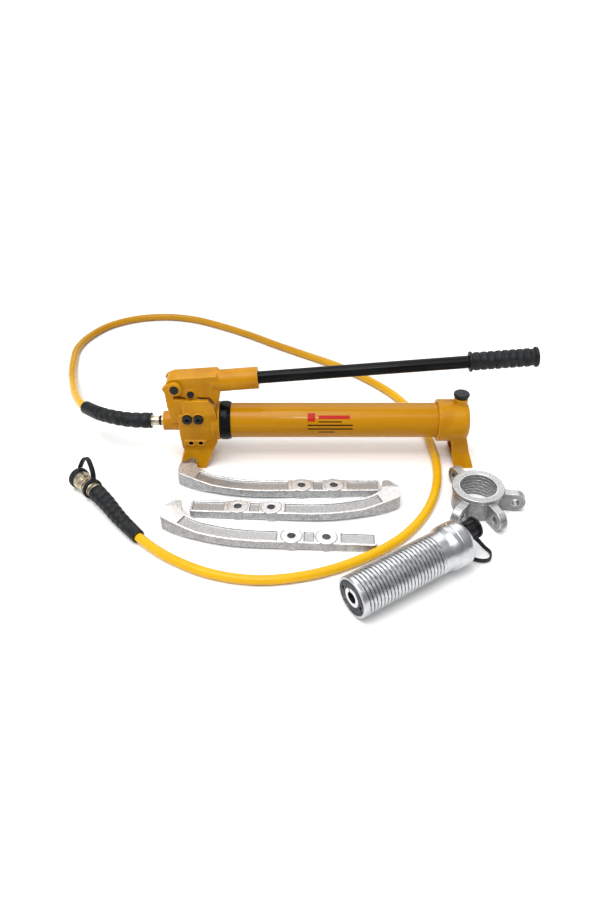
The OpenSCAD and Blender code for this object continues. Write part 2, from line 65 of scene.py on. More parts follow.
# ---------------------------------------------------------------- camera, floor and light
def make_camera():
    data = bpy.data.cameras.new("camera")
    data.lens = 30.6
    data.sensor_width = 36
    data.clip_end = 60
    camera = bpy.data.objects.new("camera", data)
    camera.location = (0.190, -1.130, 0.825)
    camera.rotation_euler = (radians(54), 0, 0)
    bpy.context.scene.collection.objects.link(camera)
    bpy.context.scene.camera = camera


def make_light(name, kind, energy, size, at, towards):
    data = bpy.data.lights.new(name, kind)
    data.energy = energy
    if kind == "SUN":
        data.angle = size[0]
    else:
        data.shape = "RECTANGLE"
        data.size, data.size_y = size
    light = bpy.data.objects.new(name, data)
    light.location = at
    light.rotation_euler = (Vector(towards) - Vector(at)).to_track_quat("-Z", "Y").to_euler()
    bpy.context.scene.collection.objects.link(light)


def make_world():
    world = bpy.data.worlds.new("studio")
    world.use_nodes = True
    bpy.context.scene.world = world
    tree = world.node_tree
    where = tree.nodes.new("ShaderNodeTexCoord")
    split = tree.nodes.new("ShaderNodeSeparateXYZ")
    ramp = tree.nodes.new("ShaderNodeValToRGB")
    tree.links.new(where.outputs["Generated"], split.inputs[0])
    tree.links.new(split.outputs["Z"], ramp.inputs[0])
    tree.links.new(ramp.outputs[0], tree.nodes["Background"].inputs["Color"])
    ramp.color_ramp.elements[0].color = (0.20, 0.205, 0.21, 1)
    ramp.color_ramp.elements[1].color = (0.62, 0.62, 0.62, 1)
    middle = ramp.color_ramp.elements.new(0.5)
    middle.color = (0.34, 0.345, 0.35, 1)


def make_floor():
    mesh = bpy.data.meshes.new("floor")
    half = 30
    corners = [(-half, -half, 0), (half, -half, 0), (half, half, 0), (-half, half, 0)]
    mesh.from_pydata(corners, [], [(0, 1, 2, 3)])
    floor = bpy.data.objects.new("floor", mesh)
    floor.location.z = -0.0004
    bpy.context.scene.collection.objects.link(floor)
    material = bpy.data.materials.new("floor_paper")
    material.use_nodes = True
    shader = material.node_tree.nodes["Principled BSDF"]
    shader.inputs["Base Color"].default_value = (0.96, 0.96, 0.96, 1)
    shader.inputs["Roughness"].default_value = 0.75
    mesh.materials.append(material)


# ---------------------------------------------------------------- materials
def start_material(name, colour, metallic, roughness, **sockets):
    material = bpy.data.materials.new(name)
    material.use_nodes = True
    shader = material.node_tree.nodes["Principled BSDF"]
    shader.inputs["Base Color"].default_value = (*colour, 1)
    shader.inputs["Metallic"].default_value = metallic
    shader.inputs["Roughness"].default_value = roughness
    for socket, value in sockets.items():
        shader.inputs[socket.replace("_", " ")].default_value = value
    return material


def speckle(material, scale, detail=4.0, stretch=(1, 1, 1), distortion=0.0):
    """A noise's output, in the object's own metres; stretch draws it out along an axis."""
    tree = material.node_tree
    where = tree.nodes.new("ShaderNodeTexCoord")
    mapping = tree.nodes.new("ShaderNodeMapping")
    mapping.inputs["Scale"].default_value = stretch
    tree.links.new(where.outputs["Object"], mapping.inputs["Vector"])
    source = tree.nodes.new("ShaderNodeTexNoise")
    source.inputs["Scale"].default_value = scale
    source.inputs["Detail"].default_value = detail
    source.inputs["Distortion"].default_value = distortion
    tree.links.new(mapping.outputs[0], source.inputs["Vector"])
    return source.outputs[0]


def part_of(material, space, axis):
    """One axis of a texture coordinate, such as the object's own position or its surface direction."""
    tree = material.node_tree
    where = tree.nodes.new("ShaderNodeTexCoord")
    split = tree.nodes.new("ShaderNodeSeparateXYZ")
    tree.links.new(where.outputs[space], split.inputs[0])
    return split.outputs[axis]


def ramp_of(material, value, stops):
    tree = material.node_tree
    ramp = tree.nodes.new("ShaderNodeValToRGB")
    elements = ramp.color_ramp.elements
    while len(elements) < len(stops):
        elements.new(0.5)
    for element, (position, colour) in zip(elements, stops):
        element.position = position
        element.color = (*colour, 1)
    tree.links.new(value, ramp.inputs[0])
    return ramp.outputs[0]


def grey(value):
    return (value, value, value)


def paint_from(material, socket, output):
    shader = material.node_tree.nodes["Principled BSDF"]
    material.node_tree.links.new(output, shader.inputs[socket])


def mix_of(material, factor, first, second):
    tree = material.node_tree
    mix = tree.nodes.new("ShaderNodeMix")
    mix.data_type = "RGBA"
    tree.links.new(factor, mix.inputs[0])
    tree.links.new(first, mix.inputs[6])
    tree.links.new(second, mix.inputs[7])
    return mix.outputs[2]


def add_bump(material, layers):
    """Bump layers of (noise output, height in mm), one on top of the other."""
    tree = material.node_tree
    last = None
    for height, distance in layers:
        bump = tree.nodes.new("ShaderNodeBump")
        bump.inputs["Strength"].default_value = 1.0
        bump.inputs["Distance"].default_value = distance * MM
        tree.links.new(height, bump.inputs["Height"])
        if last is not None:
            tree.links.new(last, bump.inputs["Normal"])
        last = bump.outputs[0]
    paint_from(material, "Normal", last)


def edges_of(material, low, high):
    """0 in hollows and on flats, 1 on worn convex edges."""
    geometry = material.node_tree.nodes.new("ShaderNodeNewGeometry")
    return ramp_of(material, geometry.outputs["Pointiness"], [(low, grey(0)), (high, grey(1))])


def hollows_of(material, low, high):
    """1 in sharp hollows, 0 on flats and edges."""
    geometry = material.node_tree.nodes.new("ShaderNodeNewGeometry")
    return ramp_of(material, geometry.outputs["Pointiness"], [(low, grey(1)), (high, grey(0))])


def yellow_casting():
    m = start_material("yellow_casting", (0.53, 0.225, 0.006), 0, 0.34, Specular_IOR_Level=0.14,
                       Coat_Weight=0.06, Coat_Roughness=0.1)
    body = ramp_of(m, speckle(m, 28, 5), [(0.3, (0.43, 0.172, 0.002)), (0.5, (0.51, 0.220, 0.002)),
                                          (0.72, (0.58, 0.262, 0.004))])
    edge = ramp_of(m, speckle(m, 500, 2), [(0.4, (0.66, 0.32, 0.020)), (0.6, (0.74, 0.42, 0.060))])
    worn = mix_of(m, edges_of(m, 0.515, 0.56), body, edge)
    # painted shade: the paint turns dark brown in sharp hollows and creases
    crevice_shade = ramp_of(m, speckle(m, 300, 3), [(0.3, (0.20, 0.075, 0.003)), (0.7, (0.30, 0.115, 0.004))])
    paint_from(m, "Base Color", mix_of(m, hollows_of(m, 0.40, 0.485), worn, crevice_shade))
    paint_from(m, "Roughness", ramp_of(m, speckle(m, 90, 4), [(0.35, grey(0.26)), (0.7, grey(0.42))]))
    add_bump(m, [(speckle(m, 55, 3), 0.5), (speckle(m, 420, 3), 0.12)])
    return m


def yellow_tube():
    m = start_material("yellow_tube", (0.58, 0.26, 0.009), 0, 0.22, Specular_IOR_Level=0.14,
                       Coat_Weight=0.1, Coat_Roughness=0.07)
    body = ramp_of(m, speckle(m, 20, 3, (0.3, 1, 1)),
                   [(0.3, (0.47, 0.202, 0.002)), (0.7, (0.53, 0.232, 0.003))])
    paint_from(m, "Base Color", body)
    paint_from(m, "Roughness", ramp_of(m, speckle(m, 140, 4), [(0.3, grey(0.18)), (0.75, grey(0.28))]))
    add_bump(m, [(speckle(m, 30, 2, (0.4, 1, 1)), 0.12), (speckle(m, 900, 2), 0.02)])
    return m


def black_paint():
    m = start_material("black_paint", (0.005, 0.005, 0.005), 0, 0.2, Specular_IOR_Level=0.09)
    dust = ramp_of(m, speckle(m, 60, 6, (0.15, 1, 1)), [(0.45, grey(0.004)), (0.8, grey(0.014))])
    paint_from(m, "Base Color", dust)
    rough = ramp_of(m, speckle(m, 160, 5, (0.1, 1, 1)), [(0.3, grey(0.16)), (0.75, grey(0.30))])
    paint_from(m, "Roughness", rough)
    add_bump(m, [(speckle(m, 700, 2), 0.02)])
    return m


def black_rubber():
    m = start_material("black_rubber", (0.010, 0.011, 0.012), 0, 0.5, Specular_IOR_Level=0.24)
    bloom = ramp_of(m, speckle(m, 110, 6), [(0.4, (0.006, 0.007, 0.008)), (0.8, (0.022, 0.023, 0.025))])
    paint_from(m, "Base Color", bloom)
    paint_from(m, "Roughness", ramp_of(m, speckle(m, 240, 4), [(0.3, grey(0.42)), (0.75, grey(0.66))]))
    add_bump(m, [(speckle(m, 900, 3), 0.08), (speckle(m, 160, 3), 0.15)])
    return m


def black_plastic():
    m = start_material("black_plastic", (0.006, 0.006, 0.007), 0, 0.3, Specular_IOR_Level=0.24)
    paint_from(m, "Base Color", ramp_of(m, speckle(m, 200, 5), [(0.4, (0.005, 0.005, 0.006)),
                                                             (0.8, (0.015, 0.015, 0.017))]))
    paint_from(m, "Roughness", ramp_of(m, speckle(m, 300, 4), [(0.3, grey(0.27)), (0.75, grey(0.44))]))
    add_bump(m, [(speckle(m, 1500, 2), 0.03)])
    return m


def black_oxide():
    m = start_material("black_oxide", (0.015, 0.016, 0.018), 0.7, 0.38)
    base = ramp_of(m, speckle(m, 180, 5), [(0.35, (0.010, 0.011, 0.013)), (0.75, (0.032, 0.033, 0.036))])
    worn = ramp_of(m, speckle(m, 600, 2), [(0.4, (0.06, 0.06, 0.065)), (0.7, (0.14, 0.14, 0.15))])
    paint_from(m, "Base Color", mix_of(m, edges_of(m, 0.53, 0.62), base, worn))
    paint_from(m, "Roughness", ramp_of(m, speckle(m, 260, 4), [(0.3, grey(0.30)), (0.75, grey(0.5))]))
    add_bump(m, [(speckle(m, 1100, 2), 0.03)])
    return m


def hose_jacket():
    m = start_material("hose_jacket", (0.80, 0.42, 0.008), 0, 0.28, Specular_IOR_Level=0.2,
                       Coat_Weight=0.1, Coat_Roughness=0.1)
    # painted shade: the jacket is darker towards the back (+Y), standing in for light falling off there
    bright = ramp_of(m, speckle(m, 22, 3), [(0.3, (0.72, 0.385, 0.003)), (0.75, (0.79, 0.440, 0.005))])
    painted_far_shade = ramp_of(m, speckle(m, 22, 3), [(0.3, (0.42, 0.195, 0.002)), (0.75, (0.50, 0.240, 0.003))])
    far_shade_mask = ramp_of(m, part_of(m, "Object", "Y"), [(0.08, grey(0)), (0.42, grey(1))])
    paint_from(m, "Base Color", mix_of(m, far_shade_mask, bright, painted_far_shade))
    paint_from(m, "Roughness", ramp_of(m, speckle(m, 200, 4), [(0.3, grey(0.24)), (0.75, grey(0.38))]))
    add_bump(m, [(speckle(m, 120, 3), 0.04), (speckle(m, 1200, 2), 0.02)])
    return m


def zinc_plating(name, tone):
    """Zinc plated forgings; tone makes the whole plating brighter or duller. Faces pointing up or down get a
    bright tone and steep faces a dark one, as painted light and shade, and sharp hollows get painted shade.
    """
    m = start_material(name, grey(0.6 * tone), 0.6, 0.28)

    def two(low, high):
        return [(0.32, grey(low * tone)), (0.68, grey(high * tone))]

    # painted light and shade: a bright tone for faces pointing up or down, a dark one for steep faces
    flat = ramp_of(m, speckle(m, 210, 7, distortion=0.3), two(0.62, 0.76))
    painted_shade_steep = ramp_of(m, speckle(m, 120, 6), two(0.28, 0.42))
    facing = ramp_of(m, part_of(m, "Normal", "Z"), [(0.45, grey(0)), (0.85, grey(1))])
    base = mix_of(m, facing, painted_shade_steep, flat)
    edged = mix_of(m, edges_of(m, 0.508, 0.545), base, ramp_of(m, speckle(m, 300, 3), two(0.82, 0.96)))
    # painted shade: darker plating in sharp hollows
    shade = ramp_of(m, speckle(m, 300, 3), two(0.12, 0.24))
    paint_from(m, "Base Color", mix_of(m, hollows_of(m, 0.44, 0.486), edged, shade))
    paint_from(m, "Roughness", ramp_of(m, speckle(m, 220, 6), [(0.3, grey(0.22)), (0.7, grey(0.38))]))
    add_bump(m, [(speckle(m, 260, 5), 0.07), (speckle(m, 45, 3), 0.2)])
    return m


def zinc_skin():
    """The rougher, greyer plating down in a forging's pockets."""
    m = start_material("zinc_skin", (0.42, 0.42, 0.425), 0.7, 0.42)
    paint_from(m, "Base Color", ramp_of(m, speckle(m, 330, 7), [(0.32, grey(0.34)), (0.5, grey(0.42)),
                                                             (0.68, grey(0.52))]))
    paint_from(m, "Roughness", ramp_of(m, speckle(m, 260, 5), [(0.3, grey(0.34)), (0.7, grey(0.5))]))
    add_bump(m, [(speckle(m, 330, 5), 0.15)])
    return m


def chromed_steel():
    m = start_material("chromed_steel", (0.66, 0.675, 0.69), 1.0, 0.3)
    base = ramp_of(m, speckle(m, 70, 5), [(0.3, (0.49, 0.505, 0.52)), (0.7, (0.62, 0.63, 0.64))])
    paint_from(m, "Base Color", base)
    paint_from(m, "Roughness", ramp_of(m, speckle(m, 240, 5), [(0.3, grey(0.26)), (0.7, grey(0.36))]))
    add_bump(m, [(speckle(m, 900, 2), 0.004)])
    return m


def groove_shade():
    """Painted shade for the bottom of a thread's groove: a darker, rougher steel."""
    m = start_material("groove_shade", (0.18, 0.18, 0.185), 0.8, 0.42)
    paint_from(m, "Base Color", ramp_of(m, speckle(m, 260, 5), [(0.3, grey(0.12)), (0.7, grey(0.24))]))
    paint_from(m, "Roughness", ramp_of(m, speckle(m, 300, 4), [(0.3, grey(0.34)), (0.7, grey(0.5))]))
    add_bump(m, [(speckle(m, 900, 2), 0.02)])
    return m


def bright_steel():
    m = start_material("bright_steel", (0.70, 0.70, 0.71), 1.0, 0.26)
    base = ramp_of(m, speckle(m, 120, 5), [(0.3, (0.60, 0.60, 0.61)), (0.7, grey(0.80))])
    paint_from(m, "Base Color", base)
    paint_from(m, "Roughness", ramp_of(m, speckle(m, 400, 4), [(0.3, grey(0.20)), (0.7, grey(0.36))]))
    add_bump(m, [(speckle(m, 800, 3), 0.02)])
    return m


def plated_fitting():
    m = start_material("plated_fitting", (0.52, 0.46, 0.33), 1.0, 0.3)
    base = ramp_of(m, speckle(m, 150, 6),
                   [(0.3, (0.36, 0.29, 0.18)), (0.5, (0.55, 0.48, 0.34)), (0.75, (0.72, 0.68, 0.56))])
    paint_from(m, "Base Color", base)
    paint_from(m, "Roughness", ramp_of(m, speckle(m, 350, 4), [(0.3, grey(0.22)), (0.7, grey(0.42))]))
    add_bump(m, [(speckle(m, 700, 3), 0.03)])
    return m


def strainer_mesh():
    m = start_material("strainer_mesh", (0.55, 0.42, 0.2), 1.0, 0.4)
    tree = m.node_tree
    where = tree.nodes.new("ShaderNodeTexCoord")
    weave = tree.nodes.new("ShaderNodeTexBrick")
    weave.inputs["Scale"].default_value = 600
    weave.inputs["Color1"].default_value = (0.05, 0.04, 0.03, 1)
    weave.inputs["Color2"].default_value = (0.08, 0.06, 0.04, 1)
    weave.inputs["Mortar"].default_value = (0.65, 0.52, 0.30, 1)
    tree.links.new(where.outputs["Object"], weave.inputs["Vector"])
    paint_from(m, "Base Color", weave.outputs[0])
    add_bump(m, [(weave.outputs[1], 0.1)])
    return m


def forging_scale():
    """The rough, rusty cut face at a jaw's tip."""
    m = start_material("forging_scale", (0.20, 0.13, 0.07), 0.35, 0.6)
    base = ramp_of(m, speckle(m, 330, 8, distortion=1.0),
                   [(0.3, (0.06, 0.035, 0.018)), (0.5, (0.22, 0.14, 0.075)), (0.72, (0.50, 0.40, 0.30))])
    paint_from(m, "Base Color", base)
    paint_from(m, "Roughness", ramp_of(m, speckle(m, 300, 4), [(0.3, grey(0.4)), (0.7, grey(0.75))]))
    add_bump(m, [(speckle(m, 350, 6), 0.9)])
    return m


def pale_scale():
    """The rough but plated cut face at another jaw's tip."""
    m = start_material("pale_scale", (0.6, 0.58, 0.55), 0.3, 0.5)
    base = ramp_of(m, speckle(m, 330, 8, distortion=1.0),
                   [(0.3, (0.30, 0.27, 0.24)), (0.5, (0.60, 0.58, 0.56)), (0.72, (0.85, 0.85, 0.84))])
    paint_from(m, "Base Color", base)
    paint_from(m, "Roughness", ramp_of(m, speckle(m, 300, 4), [(0.3, grey(0.35)), (0.7, grey(0.6))]))
    add_bump(m, [(speckle(m, 350, 6), 0.8)])
    return m


def flat_print(name, colour):
    m = start_material(name, colour, 0, 0.4, Specular_IOR_Level=0.12, Coat_Weight=0.05, Coat_Roughness=0.1)
    lighter = tuple(1.3 * part for part in colour)
    paint_from(m, "Base Color", ramp_of(m, speckle(m, 700, 3), [(0.3, colour), (0.8, lighter)]))
    add_bump(m, [(speckle(m, 900, 2), 0.02)])
    return m


materials = {make.__name__: make() for make in (
    yellow_casting, yellow_tube, black_paint, black_rubber, black_plastic, black_oxide, hose_jacket,
    zinc_skin, chromed_steel, groove_shade, bright_steel, plated_fitting, strainer_mesh, forging_scale,
    pale_scale)}
materials["zinc_forging"] = zinc_plating("zinc_forging", 1)
materials["zinc_casting"] = zinc_plating("zinc_casting", 0.68)
materials["label_red"] = flat_print("label_red", (0.42, 0.012, 0.004))
materials["label_dark"] = flat_print("label_dark", (0.045, 0.016, 0.003))


# ---------------------------------------------------------------- mesh making
def along_x(x, y, z):
    """Local Z along world X, as the CAD draws its round parts."""
    return Matrix.Translation((x, y, z)) @ Matrix.Rotation(pi / 2, 4, "Y")


def along_y(x, y, z):
    return Matrix.Translation((x, y, z)) @ Matrix.Rotation(-pi / 2, 4, "X")


def laid(at, turn, lean):
    """Local Z along a piece that lies on the floor, turned about the vertical and leaning up."""
    return (Matrix.Translation(at) @ Matrix.Rotation(radians(turn), 4, "Z")
            @ Matrix.Rotation(radians(-lean), 4, "Y") @ Matrix.Rotation(pi / 2, 4, "Y"))


def middle(node):
    """Middle of a CAD node's box, in mm."""
    low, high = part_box(node)
    return (low + high) / 2 / MM


def make_object(name, points, faces, matrix=Matrix.Identity(4)):
    mesh = bpy.data.meshes.new(name)
    mesh.from_pydata([(matrix @ Vector(p)) * MM for p in points], [], faces)
    edit = bmesh.new()
    edit.from_mesh(mesh)
    bmesh.ops.recalc_face_normals(edit, faces=edit.faces)
    edit.to_mesh(mesh)
    edit.free()
    made = bpy.data.objects.new(name, mesh)
    bpy.context.scene.collection.objects.link(made)
    return made


def finish_piece(obj, node, *names, angle=32, replaces=True, body=None):
    """Gives a piece its materials, smooth shading, body and slot; names default to the node's slot."""
    obj.data.materials.clear()
    for name in names or (slot_of[node],):
        obj.data.materials.append(materials[name])
    obj.data.polygons.foreach_set("use_smooth", [True] * len(obj.data.polygons))
    if angle:
        obj.data.set_sharp_from_angle(angle=radians(angle))
    if replaces:
        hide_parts(node)
    if body != "later":
        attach(obj, body or body_of[node])
    return obj


def rounded(outline, radius, closed=True, steps=4):
    """The outline with its corners rounded off."""
    count = len(outline)
    made = []
    for i, point in enumerate(outline):
        if not closed and i in (0, count - 1):
            made.append(tuple(point))
            continue
        corner = np.array(point, float)
        before = np.array(outline[i - 1], float) - corner
        after = np.array(outline[(i + 1) % count], float) - corner
        cut = min(radius, 0.45 * np.linalg.norm(before), 0.45 * np.linalg.norm(after))
        start = corner + before / np.linalg.norm(before) * cut
        end = corner + after / np.linalg.norm(after) * cut
        for k in range(steps + 1):
            t = k / steps
            made.append(tuple(start * (1 - t) ** 2 + corner * 2 * t * (1 - t) + end * t * t))
    return made


def grid_faces(rows, closed):
    """Quads between neighbouring rows of vertex numbers; a row that repeats one number is a pole."""
    faces = []
    pairs = list(zip(rows, rows[1:])) + ([(rows[-1], rows[0])] if closed else [])
    for a, b in pairs:
        for k in range(len(a)):
            m = (k + 1) % len(a)
            corners = list(dict.fromkeys([a[k], a[m], b[m], b[k]]))
            if len(corners) > 2:
                faces.append(corners)
    return faces


def lathe(outline, steps=96, shift=None):
    """Points and faces of (height, radius) pairs turned round Z; shift(height, radius, turn) adds to them."""
    closed = not (outline[0][1] == 0 and outline[-1][1] == 0)
    points, rows = [], []
    for z, r in outline:
        if r == 0:
            rows.append([len(points)] * steps)
            points.append((0, 0, z))
            continue
        rows.append(list(range(len(points), len(points) + steps)))
        for k in range(steps):
            turn = tau * k / steps
            reach = r + (shift(z, r, turn) if shift else 0)
            points.append((reach * cos(turn), reach * sin(turn), z))
    return points, grid_faces(rows, closed)


def turned(node, matrix, outline, radius=0.6, steps=96, shift=None, closed=True):
    """A lathed piece that stands for a CAD node; an outline that isn't closed begins and ends on the axis."""
    points, faces = lathe(rounded(outline, radius, closed), steps, shift)
    finish_piece(make_object(node + "_look", points, faces, matrix), node)


def direction(path, i):
    return (Vector(path[min(i + 1, len(path) - 1)]) - Vector(path[max(i - 1, 0)])).normalized()


def sweep(path, sections, reference=(0, 0, 1)):
    """Points and faces of closed sections of (side, up) pairs carried along a path."""
    points, rows = [], []
    for i, here in enumerate(path):
        ahead = direction(path, i)
        side = Vector(reference).cross(ahead).normalized()
        up = ahead.cross(side)
        rows.append(list(range(len(points), len(points) + len(sections[i]))))
        points += [Vector(here) + side * a + up * b for a, b in sections[i]]
    faces = grid_faces(rows, False)
    faces.append(rows[0][::-1])
    faces.append(rows[-1])
    return points, faces


def circle(radius, sides):
    return [(radius * cos(tau * k / sides), radius * sin(tau * k / sides)) for k in range(sides)]


def spline(points, per_span):
    """Catmull-Rom points through the given ones, as the CAD smooths its hose."""
    made = []
    last = len(points) - 1
    for i in range(last):
        a, b, c, d = (Vector(points[j]) for j in (max(i - 1, 0), i, i + 1, min(i + 2, last)))
        for k in range(per_span):
            t = k / per_span
            made.append(b + (c - a) * t / 2 + (2 * a - 5 * b + 4 * c - d) * t * t / 2
                        + (3 * (b - c) + d - a) * t ** 3 / 2)
    made.append(Vector(points[-1]))
    return made


def evenly(path, step):
    """The path's points at an even spacing."""
    lengths = [0.0]
    for a, b in zip(path, path[1:]):
        lengths.append(lengths[-1] + (Vector(b) - Vector(a)).length)
    count = max(2, round(lengths[-1] / step))
    table = np.array([tuple(p) for p in path])
    at = np.linspace(0, lengths[-1], count + 1)
    return [Vector([np.interp(s, lengths, table[:, axis]) for axis in range(3)]) for s in at], lengths[-1]


def merge_doubles(obj):
    edit = bmesh.new()
    edit.from_mesh(obj.data)
    bmesh.ops.remove_doubles(edit, verts=edit.verts, dist=2e-6)
    bmesh.ops.recalc_face_normals(edit, faces=edit.faces)
    edit.to_mesh(obj.data)
    edit.free()


def apply_modifiers(obj):
    graph = bpy.context.evaluated_depsgraph_get()
    done = bpy.data.meshes.new_from_object(obj.evaluated_get(graph))
    obj.modifiers.clear()
    obj.data = done


def copy_of(node):
    obj = bpy.data.objects.new(node + "_look", nodes[node].data.copy())
    bpy.context.scene.collection.objects.link(obj)
    merge_doubles(obj)
    return obj


def join_into(obj, others):
    edit = bmesh.new()
    edit.from_mesh(obj.data)
    for other in others:
        edit.from_mesh(other.data)
        bpy.data.objects.remove(other)
    edit.to_mesh(obj.data)
    edit.free()


def carve(obj, cutters):
    for cutter in cutters:
        cut = obj.modifiers.new("cut", "BOOLEAN")
        cut.operation = "DIFFERENCE"
        cut.object = cutter
        cut.solver = "EXACT"
        apply_modifiers(obj)
        bpy.data.objects.remove(cutter)


def cast(node, extras=(), cuts=(), voxel=0.8, smooth=4):
    """A cast or forged piece: the CAD solid with extra detail, its edges softened as in a mould."""
    obj = copy_of(node)
    carve(obj, cuts)
    join_into(obj, extras)
    remesh = obj.modifiers.new("remesh", "REMESH")
    remesh.mode = "VOXEL"
    remesh.voxel_size = voxel * MM
    soften = obj.modifiers.new("soften", "SMOOTH")
    soften.factor = 0.5
    soften.iterations = smooth
    apply_modifiers(obj)
    return obj


def bevel_edges(obj, width):
    bevel = obj.modifiers.new("bevel", "BEVEL")
    bevel.width = width * MM
    bevel.segments = 3
    bevel.limit_method = "ANGLE"
    bevel.angle_limit = radians(30)
    apply_modifiers(obj)


def softened(node, width):
    """The CAD solid with its sharp edges bevelled."""
    obj = copy_of(node)
    bevel_edges(obj, width)
    finish_piece(obj, node)


def solid_ring(matrix, inner, outer, low, high):
    points, faces = lathe([(low, inner), (high, inner), (high, outer), (low, outer)], 64)
    return make_object("ring", points, faces, matrix)


def solid_rod(matrix, radius, low, high):
    points, faces = lathe([(low, 0), (low, radius), (high, radius), (high, 0)], 96)
    return make_object("rod", points, faces, matrix)


def solid_box(low, high, matrix):
    corners = [(x, y, z) for z in (low[2], high[2]) for y in (low[1], high[1]) for x in (low[0], high[0])]
    faces = [(0, 2, 3, 1), (4, 5, 7, 6), (0, 1, 5, 4), (2, 6, 7, 3), (0, 4, 6, 2), (1, 3, 7, 5)]
    return make_object("box", corners, faces, matrix)


# ---------------------------------------------------------------- hose and its boots
FLAT = 7.7
ROUTE = [(-70, 0, 75), (-108, 2, 75), (-142, 14, 73), (-172, 34, 68), (-204, 66, 60), (-226, 102, 50),
         (-248, 152, 37), (-268, 210, 24), (-286, 270, 14), (-298, 330, 9), (-304, 390, FLAT),
         (-290, 446, FLAT), (-256, 500, FLAT), (-200, 536, FLAT), (-130, 548, FLAT), (-60, 534, FLAT),
         (6, 500, FLAT), (76, 454, FLAT), (140, 405, FLAT), (206, 358, FLAT), (270, 312, FLAT),
         (330, 256, FLAT), (380, 192, FLAT), (412, 122, FLAT), (428, 48, FLAT), (432, -28, FLAT),
         (422, -102, FLAT), (394, -172, FLAT), (346, -234, FLAT), (278, -282, FLAT), (206, -312, FLAT),
         (130, -323, FLAT), (58, -310, FLAT), (-8, -277, 8.6), (-62, -234, 11.6), (-100, -191, 13.8),
         (-128, -155, 16.6), (-149, -131, 18.5)]
HOSE_R = 7.5
PUMP_BOOT_POINTS = 4
COUPLER_BOOT_POINTS = 4
WAVE_DEPTH = 1.9


def make_hose():
    path, length = evenly(spline(ROUTE, 24), 2.2)
    sides = 24
    points, faces = sweep(path, [circle(HOSE_R, sides)] * len(path))
    obj = make_object("hose_look", points, faces)
    finish_piece(obj, "hose", "hose_jacket", "label_dark", angle=None)
    # a row of plain printed dashes along the jacket's upper front side
    first_row, last_row = 861, 960
    for row in range(first_row, last_row):
        for k in (18, 19):
            if row % 5 in (0, 1, 3):
                obj.data.polygons[row * sides + k].material_index = 1
    return obj, [p * MM for p in path], length * MM


def make_boot(node, route, start_r, end_r, waves, wavy):
    """A bend-relief boot: rounded waves over the wavy part of its length, and a plain sleeve over the rest."""
    path, length = evenly(spline(route, 24), 0.8)
    sections = []
    for i in range(len(path)):
        s = i / (len(path) - 1)
        base = start_r + (end_r - start_r) * s
        along = (s - wavy[0]) / (wavy[1] - wavy[0])
        crest = abs(sin(pi * waves * along)) ** 0.55 if 0 < along < 1 else 1
        rim = 0.8 * max(0, 1 - min(s, 1 - s) * length / 1.5)
        sections.append(circle(base - WAVE_DEPTH * (1 - crest) - rim - 0.1, 48))
    points, faces = sweep(path, sections)
    finish_piece(make_object(node + "_look", points, faces), node, angle=60)


# ---------------------------------------------------------------- the pump
FACE_Y = -30
PAD_HOLES = (0, 17)
PAD_Z = 48


def make_pump_body():
    fulcrum = middle("fulcrum_pin")
    plugs_low, plugs_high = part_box("valve_plugs")
    plug_r = (plugs_high.z - plugs_low.z) / 2 / MM
    extras = []
    for side in (-1, 1):
        extras.append(solid_ring(along_y(fulcrum.x, side * 25, fulcrum.z), 7.1, 10.6, -1.1, 1.1))
    for x in (plugs_low.x / MM + plug_r, plugs_high.x / MM - plug_r):
        seat = along_y(x, FACE_Y, middle("valve_plugs").z)
        extras.append(solid_ring(seat, plug_r + 0.4, plug_r + 2.2, -0.9, 2))
    for x in PAD_HOLES:
        extras.append(solid_ring(along_y(x, FACE_Y - 2, PAD_Z), 4.1, 5.8, -0.7, 1))
    obj = cast("pump_body", extras)
    finish_piece(obj, "pump_body", "yellow_casting", "black_oxide", angle=None)
    # painted shade: the pad holes' insides are painted black; the same test also blackens two small spots on
    # the far face behind them
    for face in obj.data.polygons:
        at = face.center / MM
        from_holes = min(Vector((at.x - x, at.z - PAD_Z)).length for x in PAD_HOLES)
        if at.y > FACE_Y - 1 and from_holes < 4.3:
            face.material_index = 1


def make_stand():
    finish_piece(cast("rear_stand"), "rear_stand", angle=None)


def make_tube():
    low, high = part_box("reservoir_tube")
    r = high.y / MM
    axis = along_x(0, 0, middle("reservoir_tube").z)
    a, b = low.x / MM, high.x / MM
    turned("reservoir_tube", axis, [(a, r), (b, r), (b, r - 2.5), (a, r - 2.5)], radius=0.5, steps=160)
    low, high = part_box("tube_lock_ring")
    a, b = low.x / MM, high.x / MM
    turned("tube_lock_ring", axis,
           [(a, r + 0.05), (a, 31.5), (a + 1.5, 34), (b - 6.5, 34.3), (b, 32.3), (b, r + 0.05)],
           radius=1.2, steps=160)


